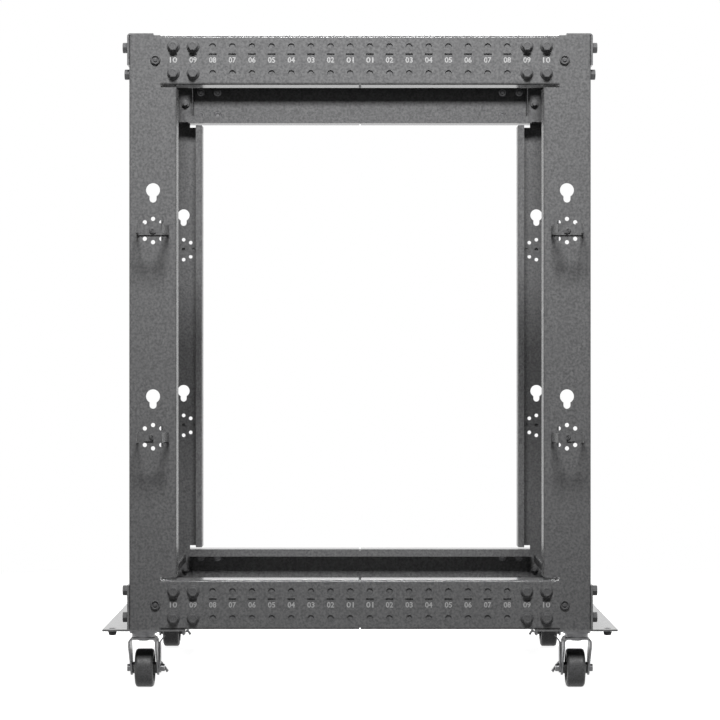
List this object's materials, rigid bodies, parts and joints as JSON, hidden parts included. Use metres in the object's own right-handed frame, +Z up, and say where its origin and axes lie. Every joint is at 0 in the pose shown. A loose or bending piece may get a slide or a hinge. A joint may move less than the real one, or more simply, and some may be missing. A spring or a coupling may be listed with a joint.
{
  "type": "four post open frame rack on casters",
  "caption": "Open rack of four lipped posts joined by side beams and cross members, with square hole rails, cable hooks and swivel casters with brakes.",
  "frame": {"origin": "on the floor at the middle of the rack", "axes": "+X from the front rails to the rear rails, +Y to the left side as seen from the front, +Z up"},
  "size_m": [0.667, 0.65, 0.8511],
  "materials": {
    "frame_coat": "fine textured powder coat, charcoal",
    "hook_coat": "fine textured powder coat, charcoal",
    "zinc": "zinc plated pressed steel",
    "wheel_black": "satin black wheel"
  },
  "bodies": {
    "rack": {"front_right_post": "frame_coat", "rear_right_post": "frame_coat", "front_left_post": "frame_coat", "rear_left_post": "frame_coat", "front_right_top_beam": "frame_coat", "rear_right_top_beam": "frame_coat", "front_left_top_beam": "frame_coat", "rear_left_top_beam": "frame_coat", "front_right_bottom_beam": "frame_coat", "rear_right_bottom_beam": "frame_coat", "front_left_bottom_beam": "frame_coat", "rear_left_bottom_beam": "frame_coat", "right_top_splice": "frame_coat", "left_top_splice": "frame_coat", "right_bottom_splice": "frame_coat", "left_bottom_splice": "frame_coat", "front_top_cross_member": "frame_coat", "rear_top_cross_member": "frame_coat", "front_bottom_cross_member": "frame_coat", "rear_bottom_cross_member": "frame_coat", "front_right_lower_hook": "hook_coat", "rear_right_lower_hook": "hook_coat", "front_left_lower_hook": "hook_coat", "rear_left_lower_hook": "hook_coat", "front_right_upper_hook": "hook_coat", "rear_right_upper_hook": "hook_coat", "front_left_upper_hook": "hook_coat", "rear_left_upper_hook": "hook_coat", "front_right_caster_stem": "zinc", "rear_right_caster_stem": "zinc", "front_left_caster_stem": "zinc", "rear_left_caster_stem": "zinc"},
    "front_right_swivel": {"front_right_caster_fork": "zinc"},
    "front_right_wheel": {"front_right_caster_wheel": "wheel_black"},
    "front_right_lever": {"front_right_brake_lever": "zinc"},
    "rear_right_swivel": {"rear_right_caster_fork": "zinc"},
    "rear_right_wheel": {"rear_right_caster_wheel": "wheel_black"},
    "rear_right_lever": {"rear_right_brake_lever": "zinc"},
    "front_left_swivel": {"front_left_caster_fork": "zinc"},
    "front_left_wheel": {"front_left_caster_wheel": "wheel_black"},
    "front_left_lever": {"front_left_brake_lever": "zinc"},
    "rear_left_swivel": {"rear_left_caster_fork": "zinc"},
    "rear_left_wheel": {"rear_left_caster_wheel": "wheel_black"},
    "rear_left_lever": {"rear_left_brake_lever": "zinc"}
  },
  "joints": [
    {"name": "front_right_caster_turn", "type": "hinge", "parent": "rack", "child": "front_right_swivel", "pos_m": [-0.282, -0.242, 0.071], "axis": [0, 0, 1], "continuous": true},
    {"name": "front_right_wheel_roll", "type": "hinge", "parent": "front_right_swivel", "child": "front_right_wheel", "pos_m": [-0.282, -0.22, 0.025], "axis": [1, 0, 0], "continuous": true},
    {"name": "front_right_brake_press", "type": "hinge", "parent": "front_right_swivel", "child": "front_right_lever", "pos_m": [-0.282, -0.22, 0.025], "axis": [-1, 0, 0], "range_deg": [0, 20]},
    {"name": "rear_right_caster_turn", "type": "hinge", "parent": "rack", "child": "rear_right_swivel", "pos_m": [0.282, -0.242, 0.071], "axis": [0, 0, 1], "continuous": true},
    {"name": "rear_right_wheel_roll", "type": "hinge", "parent": "rear_right_swivel", "child": "rear_right_wheel", "pos_m": [0.282, -0.22, 0.025], "axis": [1, 0, 0], "continuous": true},
    {"name": "rear_right_brake_press", "type": "hinge", "parent": "rear_right_swivel", "child": "rear_right_lever", "pos_m": [0.282, -0.22, 0.025], "axis": [-1, 0, 0], "range_deg": [0, 20]},
    {"name": "front_left_caster_turn", "type": "hinge", "parent": "rack", "child": "front_left_swivel", "pos_m": [-0.282, 0.242, 0.071], "axis": [0, 0, 1], "continuous": true},
    {"name": "front_left_wheel_roll", "type": "hinge", "parent": "front_left_swivel", "child": "front_left_wheel", "pos_m": [-0.282, 0.22, 0.025], "axis": [1, 0, 0], "continuous": true},
    {"name": "front_left_brake_press", "type": "hinge", "parent": "front_left_swivel", "child": "front_left_lever", "pos_m": [-0.282, 0.22, 0.025], "axis": [1, 0, 0], "range_deg": [0, 20]},
    {"name": "rear_left_caster_turn", "type": "hinge", "parent": "rack", "child": "rear_left_swivel", "pos_m": [0.282, 0.242, 0.071], "axis": [0, 0, 1], "continuous": true},
    {"name": "rear_left_wheel_roll", "type": "hinge", "parent": "rear_left_swivel", "child": "rear_left_wheel", "pos_m": [0.282, 0.22, 0.025], "axis": [1, 0, 0], "continuous": true},
    {"name": "rear_left_brake_press", "type": "hinge", "parent": "rear_left_swivel", "child": "rear_left_lever", "pos_m": [0.282, 0.22, 0.025], "axis": [1, 0, 0], "range_deg": [0, 20]}
  ]
}
